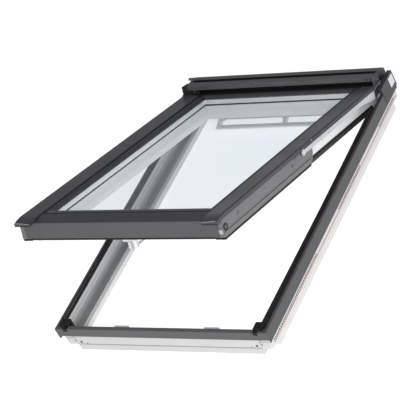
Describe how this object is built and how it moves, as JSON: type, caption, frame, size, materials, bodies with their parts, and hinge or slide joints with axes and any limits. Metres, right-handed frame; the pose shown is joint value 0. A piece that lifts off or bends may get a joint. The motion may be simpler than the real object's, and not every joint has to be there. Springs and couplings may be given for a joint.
{
  "type": "roof skylight",
  "caption": "Roof window with a white moulded frame, dark folded covers and a double-glazed sash that swings up from a top hinge and pivots in its arms for cleaning.",
  "frame": {"origin": "under the middle of the frame, on the plane of its underside", "axes": "+Y up the roof slope towards the top casing, +Z out of the roof, X across the window"},
  "size_m": [0.8064, 1.196, 0.5237],
  "materials": {
    "white_frame": "smooth lacquered moulding",
    "white_sash": "smooth lacquered moulding",
    "dark_cover": "satin dark grey lacquer",
    "cladding": "satin mid grey lacquer",
    "bead": "satin dark grey lacquer",
    "dark_plastic": "fine grain",
    "black_plastic": "smooth",
    "black_rubber": "matte",
    "galvanised_steel": "zinc coated",
    "dark_steel": "dark zinc coated",
    "bright_steel": "zinc coated",
    "glass": "clear float glass",
    "spacer": "mill finish",
    "liner": "mill finish",
    "pale_metal": "satin anodised",
    "chrome": "polished"
  },
  "bodies": {
    "frame_body": {"frame_side_left": "white_frame", "frame_side_right": "white_frame", "frame_bottom_rail": "white_frame", "frame_top_rail": "white_frame", "frame_side_cover_left": "dark_cover", "frame_side_cover_right": "dark_cover", "frame_bottom_cover": "dark_cover", "top_casing": "dark_cover", "casing_end_left": "dark_plastic", "casing_end_right": "dark_plastic", "casing_ridge": "dark_cover", "corner_cover_left": "dark_cover", "corner_cover_right": "dark_cover", "hinge_bracket_left": "dark_steel", "hinge_bracket_right": "dark_steel", "corner_plug_left": "black_rubber", "corner_plug_right": "black_rubber", "side_seal_left": "black_rubber", "side_seal_right": "black_rubber", "top_seal": "black_rubber", "frame_liners": "liner", "lock_keeps": "pale_metal"},
    "arms_body": {"hinge_arm_left": "galvanised_steel", "hinge_arm_right": "galvanised_steel", "upper_cover_left": "dark_cover", "upper_cover_right": "dark_cover", "arm_screws": "bright_steel"},
    "sash_body": {"sash_side_left": "white_sash", "sash_side_right": "white_sash", "sash_top_rail": "white_sash", "sash_bottom_rail": "white_sash", "outer_pane": "glass", "inner_pane": "glass", "glass_spacer": "spacer", "outer_glazing_seal": "black_rubber", "inner_glazing_seal": "black_rubber", "bead_left": "bead", "bead_right": "bead", "bead_top": "bead", "bead_bottom": "bead", "sash_top_cover": "dark_cover", "sash_bottom_cover": "dark_cover", "lower_cover_left": "dark_cover", "lower_cover_right": "dark_cover", "sash_cladding_left": "cladding", "sash_cladding_right": "cladding", "sash_seal": "black_rubber", "pivot_pin_left": "bright_steel", "pivot_pin_right": "bright_steel", "pivot_plates": "dark_steel", "bolt_sleeve_left": "black_plastic", "bolt_sleeve_right": "black_plastic", "vent_lugs": "pale_metal", "vent_rod": "bright_steel", "handle_base": "pale_metal"},
    "vent_body": {"vent_bar": "pale_metal"},
    "lever_body": {"handle": "chrome"},
    "bolt_left_body": {"barrel_bolt_left": "dark_steel"},
    "bolt_right_body": {"barrel_bolt_right": "dark_steel"}
  },
  "joints": [
    {"name": "top_hinge", "type": "hinge", "parent": "frame_body", "child": "arms_body", "pos_m": [0, 0.54, 0.121], "axis": [-1, 0, 0], "range_deg": [-20.3, 24.7], "deforming": ["side_seal_left", "side_seal_right", "corner_plug_left", "corner_plug_right"]},
    {"name": "sash_pivot", "type": "hinge", "parent": "arms_body", "child": "sash_body", "pos_m": [0, -0.00793, 0.31729], "axis": [-1, 0, 0], "range_deg": [0, 140]},
    {"name": "vent_hinge", "type": "hinge", "parent": "sash_body", "child": "vent_body", "pos_m": [0, 0.4871, 0.04141], "axis": [1, 0, 0], "range_deg": [0, 25]},
    {"name": "handle_turn", "type": "hinge", "parent": "sash_body", "child": "lever_body", "pos_m": [0, -0.48483, 0.4116], "axis": [0, 0.3469, 0.9379], "range_deg": [-90, 0]},
    {"name": "bolt_left_slide", "type": "slide", "parent": "sash_body", "child": "bolt_left_body", "axis": [-1, 0, 0], "range_m": [0, 0.01]},
    {"name": "bolt_right_slide", "type": "slide", "parent": "sash_body", "child": "bolt_right_body", "axis": [1, 0, 0], "range_m": [0, 0.01]}
  ]
}
